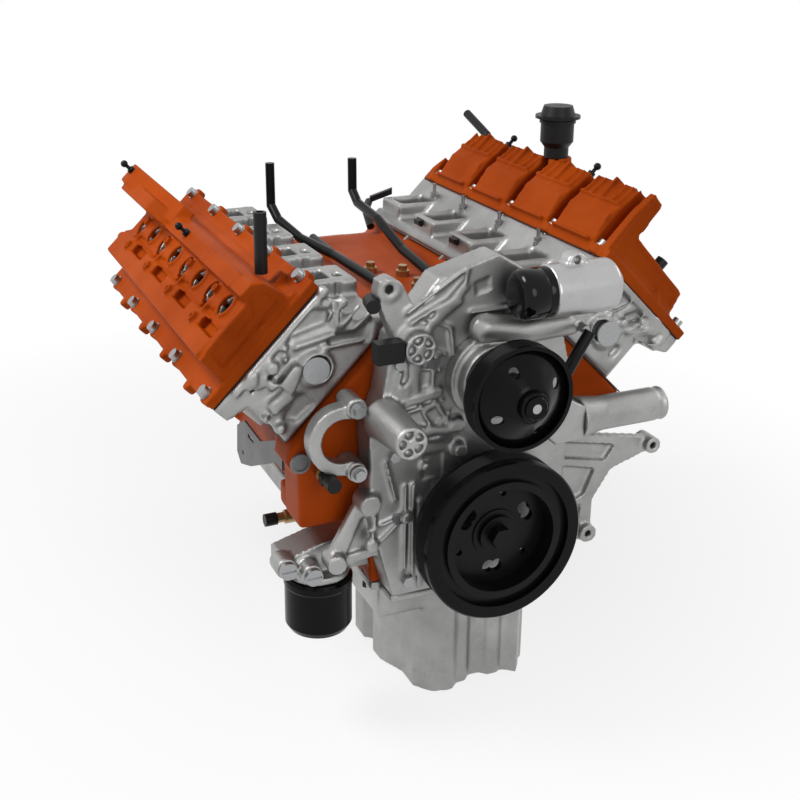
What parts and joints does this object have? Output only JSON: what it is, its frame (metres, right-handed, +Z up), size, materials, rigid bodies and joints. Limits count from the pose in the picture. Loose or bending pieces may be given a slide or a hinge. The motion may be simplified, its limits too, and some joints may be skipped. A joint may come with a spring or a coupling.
{
  "type": "complete v8 engine",
  "caption": "Complete V engine with painted valve covers and block, cast heads, timing cover, crankshaft damper, coolant pump, oil pan and oil filter.",
  "frame": {"origin": "on the crankshaft axis, in the face of its rear flange", "axes": "+Y to the rear along the crankshaft, +Z up, +X to the right in the picture"},
  "size_m": [0.6372, 0.719, 0.7077],
  "materials": {
    "block_paint": "satin",
    "cover_paint": "satin",
    "cast_aluminium": "cast",
    "bright_aluminium": "machined",
    "piston_aluminium": "machined",
    "machined_steel": "machined",
    "zinc_steel": "zinc plated",
    "gasket_steel": "coated",
    "dark_iron": "machined",
    "satin_black_steel": "satin",
    "gloss_black_paint": "gloss",
    "gloss_black_plastic": "gloss",
    "black_plastic": "satin",
    "black_rubber": "matt",
    "brass_fitting": "dull"
  },
  "bodies": {
    "engine": {"engine_block": "block_paint", "main_bearing_caps": "dark_iron", "lifters_and_pushrods": "machined_steel", "cylinder_head_left": "cast_aluminium", "cylinder_head_right": "cast_aluminium", "head_gaskets": "gasket_steel", "cover_gaskets": "black_rubber", "cover_bolts": "zinc_steel", "valve_cover_left": "cover_paint", "valve_cover_right": "cover_paint", "valves": "machined_steel", "valve_springs": "machined_steel", "rocker_gear": "machined_steel", "spark_plugs": "zinc_steel", "head_bolts": "zinc_steel", "core_plugs": "zinc_steel", "rear_seal_retainer": "cast_aluminium", "oil_pan": "cast_aluminium", "oil_pickup": "zinc_steel", "flange_bolts": "zinc_steel", "front_timing_cover": "cast_aluminium", "water_pump_housing": "cast_aluminium", "thermostat_housing": "bright_aluminium", "coolant_inlet_pipe": "cast_aluminium", "accessory_bracket": "cast_aluminium", "oil_filter_adapter": "cast_aluminium", "adapter_plugs": "zinc_steel", "oil_filter": "gloss_black_paint", "block_sensors": "brass_fitting", "harness_bracket": "zinc_steel", "cover_ball_studs": "zinc_steel", "oil_filler_neck": "black_plastic", "breather_stubs": "black_plastic", "heater_tubes": "satin_black_steel", "valley_harness": "black_plastic", "timing_chain": "machined_steel"},
    "crankshaft_assembly": {"crankshaft": "machined_steel", "damper_hub": "satin_black_steel", "damper_ring": "gloss_black_paint", "damper_bolt": "satin_black_steel", "crank_sprocket": "machined_steel"},
    "camshaft_assembly": {"camshaft": "machined_steel", "cam_sprocket": "machined_steel"},
    "water_pump_rotor": {"pump_pulley": "gloss_black_paint", "pump_shaft": "machined_steel"},
    "dust_cap": {"outlet_dust_cap": "gloss_black_plastic"},
    "filler_seal": {"oil_cap_seal": "black_rubber"},
    "filler_cap": {"oil_filler_cap": "black_plastic"},
    "crank_gallery_plug_1": {"crank_gallery_plug_1": "machined_steel"},
    "piston_left_1": {"piston_left_1": "piston_aluminium"},
    "piston_right_1": {"piston_right_1": "piston_aluminium"},
    "crank_gallery_plug_2": {"crank_gallery_plug_2": "machined_steel"},
    "piston_left_2": {"piston_left_2": "piston_aluminium"},
    "piston_right_2": {"piston_right_2": "piston_aluminium"},
    "crank_gallery_plug_3": {"crank_gallery_plug_3": "machined_steel"},
    "piston_left_3": {"piston_left_3": "piston_aluminium"},
    "piston_right_3": {"piston_right_3": "piston_aluminium"},
    "crank_gallery_plug_4": {"crank_gallery_plug_4": "machined_steel"},
    "piston_left_4": {"piston_left_4": "piston_aluminium"},
    "piston_right_4": {"piston_right_4": "piston_aluminium"}
  },
  "joints": [
    {"name": "crank_spin", "type": "hinge", "parent": "engine", "child": "crankshaft_assembly", "pos_m": [0, 0, 0], "axis": [0, 1, 0], "continuous": true},
    {"name": "cam_spin", "type": "hinge", "parent": "engine", "child": "camshaft_assembly", "pos_m": [0, 0, 0.155], "axis": [0, 1, 0], "continuous": true},
    {"name": "pump_spin", "type": "hinge", "parent": "engine", "child": "water_pump_rotor", "pos_m": [0.003, 0, 0.185], "axis": [0, 1, 0], "continuous": true},
    {"name": "dust_cap_pull", "type": "slide", "parent": "engine", "child": "dust_cap", "axis": [-1, 0, 0], "range_m": [0, 0.05]},
    {"name": "filler_cap_lift", "type": "slide", "parent": "engine", "child": "filler_seal", "axis": [0, 0, 1], "range_m": [0, 0.045]},
    {"name": "filler_cap_turn", "type": "hinge", "parent": "filler_seal", "child": "filler_cap", "pos_m": [0.262, -0.311, 0.42], "axis": [0, 0, 1], "range_deg": [0, 90]},
    {"name": "plug_1_turn", "type": "hinge", "parent": "crankshaft_assembly", "child": "crank_gallery_plug_1", "pos_m": [0.01607, 0, 0.01607], "axis": [0, 1, 0], "continuous": true},
    {"name": "piston_left_1_travel", "type": "hinge", "parent": "crank_gallery_plug_1", "child": "piston_left_1", "pos_m": [0, 0, 0], "axis": [0, 1, 0], "continuous": true},
    {"name": "piston_right_1_travel", "type": "hinge", "parent": "crank_gallery_plug_1", "child": "piston_right_1", "pos_m": [0.03214, 0, 0.03214], "axis": [0, 1, 0], "continuous": true},
    {"name": "plug_2_turn", "type": "hinge", "parent": "crankshaft_assembly", "child": "crank_gallery_plug_2", "pos_m": [-0.01607, 0, 0.01607], "axis": [0, 1, 0], "continuous": true},
    {"name": "piston_left_2_travel", "type": "hinge", "parent": "crank_gallery_plug_2", "child": "piston_left_2", "pos_m": [-0.03214, 0, 0.03214], "axis": [0, 1, 0], "continuous": true},
    {"name": "piston_right_2_travel", "type": "hinge", "parent": "crank_gallery_plug_2", "child": "piston_right_2", "pos_m": [0, 0, 0], "axis": [0, 1, 0], "continuous": true},
    {"name": "plug_3_turn", "type": "hinge", "parent": "crankshaft_assembly", "child": "crank_gallery_plug_3", "pos_m": [0.01607, 0, -0.01607], "axis": [0, 1, 0], "continuous": true},
    {"name": "piston_left_3_travel", "type": "hinge", "parent": "crank_gallery_plug_3", "child": "piston_left_3", "pos_m": [0.03214, 0, -0.03214], "axis": [0, 1, 0], "continuous": true},
    {"name": "piston_right_3_travel", "type": "hinge", "parent": "crank_gallery_plug_3", "child": "piston_right_3", "pos_m": [0, 0, 0], "axis": [0, 1, 0], "continuous": true},
    {"name": "plug_4_turn", "type": "hinge", "parent": "crankshaft_assembly", "child": "crank_gallery_plug_4", "pos_m": [-0.01607, 0, -0.01607], "axis": [0, 1, 0], "continuous": true},
    {"name": "piston_left_4_travel", "type": "hinge", "parent": "crank_gallery_plug_4", "child": "piston_left_4", "pos_m": [0, 0, 0], "axis": [0, 1, 0], "continuous": true},
    {"name": "piston_right_4_travel", "type": "hinge", "parent": "crank_gallery_plug_4", "child": "piston_right_4", "pos_m": [-0.03214, 0, -0.03214], "axis": [0, 1, 0], "continuous": true}
  ],
  "couplings": [
    {"joint": "cam_spin", "follows": "crank_spin", "ratio": 0.5},
    {"joint": "plug_1_turn", "follows": "crank_spin", "ratio": -2},
    {"joint": "piston_left_1_travel", "follows": "crank_spin", "ratio": 1},
    {"joint": "piston_right_1_travel", "follows": "crank_spin", "ratio": 1},
    {"joint": "plug_2_turn", "follows": "crank_spin", "ratio": -2},
    {"joint": "piston_left_2_travel", "follows": "crank_spin", "ratio": 1},
    {"joint": "piston_right_2_travel", "follows": "crank_spin", "ratio": 1},
    {"joint": "plug_3_turn", "follows": "crank_spin", "ratio": -2},
    {"joint": "piston_left_3_travel", "follows": "crank_spin", "ratio": 1},
    {"joint": "piston_right_3_travel", "follows": "crank_spin", "ratio": 1},
    {"joint": "plug_4_turn", "follows": "crank_spin", "ratio": -2},
    {"joint": "piston_left_4_travel", "follows": "crank_spin", "ratio": 1},
    {"joint": "piston_right_4_travel", "follows": "crank_spin", "ratio": 1}
  ]
}
